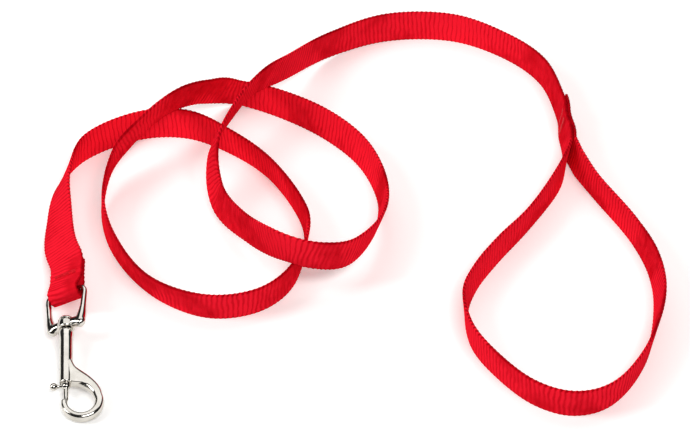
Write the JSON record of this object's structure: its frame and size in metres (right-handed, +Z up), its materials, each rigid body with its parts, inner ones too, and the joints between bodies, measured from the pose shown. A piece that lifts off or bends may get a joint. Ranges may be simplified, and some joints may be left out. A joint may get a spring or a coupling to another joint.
{
  "type": "dog lead",
  "caption": "Webbing dog lead with a sewn hand loop at one end and a swivelling bolt snap at the other, lying loosely looped on its edge",
  "frame": {"origin": "middle of the box round the laid-out lead, on the surface that it lies on", "axes": "+X is the longest way across the layout, from the snap's side to the hand loop's side; +Y is away from the snap; +Z is up, the shortest way"},
  "size_m": [0.2577, 0.2386, 0.0322],
  "materials": {
    "webbing": "woven nylon webbing with cross ribs, satin sheen",
    "thread": "bonded nylon thread, slightly glossy",
    "plated_metal": "bright nickel plate on a die casting",
    "spring_steel": "drawn spring wire"
  },
  "bodies": {
    "webbing": {"lead_webbing": "webbing", "snap_fold": "webbing", "handle_loop": "webbing", "snap_bar_tack": "thread", "handle_bar_tacks": "thread"},
    "eye": {"swivel_eye": "plated_metal"},
    "hook": {"hook_body": "plated_metal", "swivel_stud": "plated_metal", "bolt_spring": "spring_steel"},
    "bolt": {"bolt_plunger": "plated_metal", "thumb_knob": "plated_metal"}
  },
  "joints": [
    {"name": "eye_pivot", "type": "hinge", "parent": "webbing", "child": "eye", "pos_m": [-0.1165, -0.057, 0.01], "axis": [0.8927, 0.007, 0.4506], "range_deg": [-90, 90]},
    {"name": "swivel", "type": "hinge", "parent": "eye", "child": "hook", "pos_m": [-0.11518, -0.07581, 0.00768], "axis": [0.0692, -0.9901, -0.1219], "continuous": true},
    {"name": "bolt_slide", "type": "slide", "parent": "hook", "child": "bolt", "axis": [-0.0692, 0.9901, 0.1219], "range_m": [0, 0.007], "stiffness_N_per_m": 250, "springref_m": -0.004, "deforming": ["bolt_spring"]}
  ]
}
